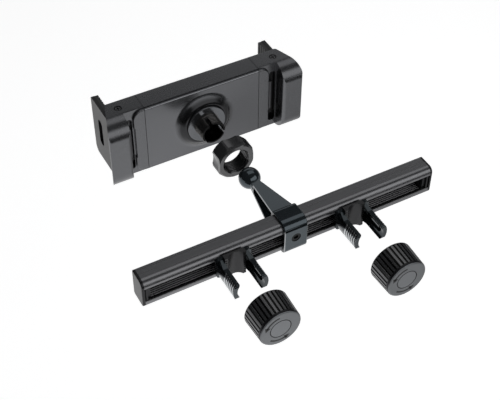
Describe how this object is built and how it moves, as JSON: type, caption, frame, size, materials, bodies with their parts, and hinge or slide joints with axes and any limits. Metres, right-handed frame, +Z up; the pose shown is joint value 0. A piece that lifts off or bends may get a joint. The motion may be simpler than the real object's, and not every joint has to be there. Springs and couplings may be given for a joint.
{
  "type": "headrest tablet mount",
  "caption": "Headrest tablet mount drawn apart: slotted rail with post clamps and threaded knobs, ball arm, locking nut and a sliding-jaw tablet holder with a slit ball socket.",
  "frame": {"origin": "middle of the rail, on its centreline, midway between its ends", "axes": "+X along the rail, +Y from the post clamps towards the tablet holder, +Z up along the headrest posts"},
  "size_m": [0.24, 0.2574, 0.0644],
  "materials": {
    "rail_plastic": "matte dark grey moulding",
    "gloss_black": "glossy blue-black moulding",
    "screw_steel": "blackened steel",
    "seat_rubber": "grey rubber",
    "knob_plastic": "black ribbed moulding",
    "disc_plastic": "grey satin moulding",
    "pad_rubber": "dark rubber",
    "nut_plastic": "dark grey moulding",
    "holder_plastic": "matte grey moulding",
    "cover_plastic": "matte grey moulding",
    "gear_plastic": "dark moulding"
  },
  "bodies": {
    "rail": {"rail": "rail_plastic", "end_cap_left": "rail_plastic", "end_cap_right": "rail_plastic"},
    "arm": {"ball_arm": "gloss_black", "arm_screw": "screw_steel", "arm_slot_nut": "screw_steel"},
    "seat": {"ball_seat": "seat_rubber"},
    "collet": {"socket_collet": "gloss_black"},
    "nut": {"locking_nut": "nut_plastic"},
    "holder": {"housing_front": "holder_plastic", "back_cover": "cover_plastic", "collet_retainer": "holder_plastic", "rest_pad": "pad_rubber"},
    "pinion": {"pinion": "gear_plastic"},
    "claw_left": {"claw_fork_left": "gloss_black", "post_seat_left": "seat_rubber"},
    "pad_left": {"knob_pad_left": "pad_rubber"},
    "knob_left": {"knob_left": "knob_plastic", "knob_disc_left": "disc_plastic"},
    "jaw_left": {"jaw_shell_left": "holder_plastic", "jaw_hook_left": "holder_plastic", "jaw_pad_left": "pad_rubber", "jaw_screw_top_left": "screw_steel", "jaw_screw_bottom_left": "screw_steel", "jaw_slide_left": "gear_plastic"},
    "claw_right": {"claw_fork_right": "gloss_black", "post_seat_right": "seat_rubber"},
    "pad_right": {"knob_pad_right": "pad_rubber"},
    "knob_right": {"knob_right": "knob_plastic", "knob_disc_right": "disc_plastic"},
    "jaw_right": {"jaw_shell_right": "holder_plastic", "jaw_hook_right": "holder_plastic", "jaw_pad_right": "pad_rubber", "jaw_screw_top_right": "screw_steel", "jaw_screw_bottom_right": "screw_steel", "jaw_slide_right": "gear_plastic"}
  },
  "joints": [
    {"name": "arm_slide", "type": "slide", "parent": "rail", "child": "arm", "axis": [1, 0, 0], "range_m": [-0.01, 0.01]},
    {"name": "holder_draw", "type": "slide", "parent": "arm", "child": "seat", "axis": [0, -1, 0], "range_m": [0, 0.0639]},
    {"name": "socket_tilt", "type": "hinge", "parent": "seat", "child": "collet", "pos_m": [0, 0.12325, 0], "axis": [1, 0, 0], "range_deg": [-20, 20]},
    {"name": "holder_turn", "type": "hinge", "parent": "collet", "child": "holder", "pos_m": [0, 0.12325, 0], "axis": [0, 1, 0], "continuous": true},
    {"name": "nut_travel", "type": "slide", "parent": "collet", "child": "nut", "axis": [0, 1, 0], "range_m": [0, 0.0366]},
    {"name": "pinion_spin", "type": "hinge", "parent": "holder", "child": "pinion", "pos_m": [0, 0.12325, 0], "axis": [0, 1, 0], "range_deg": [-400, 20]},
    {"name": "claw_left_slide", "type": "slide", "parent": "rail", "child": "claw_left", "axis": [1, 0, 0], "range_m": [-0.043, 0.012]},
    {"name": "knob_left_travel", "type": "slide", "parent": "claw_left", "child": "pad_left", "axis": [0, 1, 0], "range_m": [0, 0.0288]},
    {"name": "knob_left_spin", "type": "hinge", "parent": "pad_left", "child": "knob_left", "pos_m": [-0.051, -0.05, 0], "axis": [0, 1, 0], "continuous": true},
    {"name": "jaw_left_slide", "type": "slide", "parent": "holder", "child": "jaw_left", "axis": [-1, 0, 0], "range_m": [0, 0.038]},
    {"name": "claw_right_slide", "type": "slide", "parent": "rail", "child": "claw_right", "axis": [1, 0, 0], "range_m": [-0.012, 0.047]},
    {"name": "knob_right_travel", "type": "slide", "parent": "claw_right", "child": "pad_right", "axis": [0, 1, 0], "range_m": [0, 0.0333]},
    {"name": "knob_right_spin", "type": "hinge", "parent": "pad_right", "child": "knob_right", "pos_m": [0.047, -0.05, 0], "axis": [0, 1, 0], "continuous": true},
    {"name": "jaw_right_slide", "type": "slide", "parent": "holder", "child": "jaw_right", "axis": [1, 0, 0], "range_m": [0, 0.038]}
  ],
  "couplings": [
    {"joint": "nut_travel", "follows": "holder_draw", "ratio": 0.57277},
    {"joint": "jaw_right_slide", "follows": "jaw_left_slide", "ratio": 1},
    {"joint": "pinion_spin", "follows": "jaw_left_slide", "rad_per_m": -166.67}
  ]
}
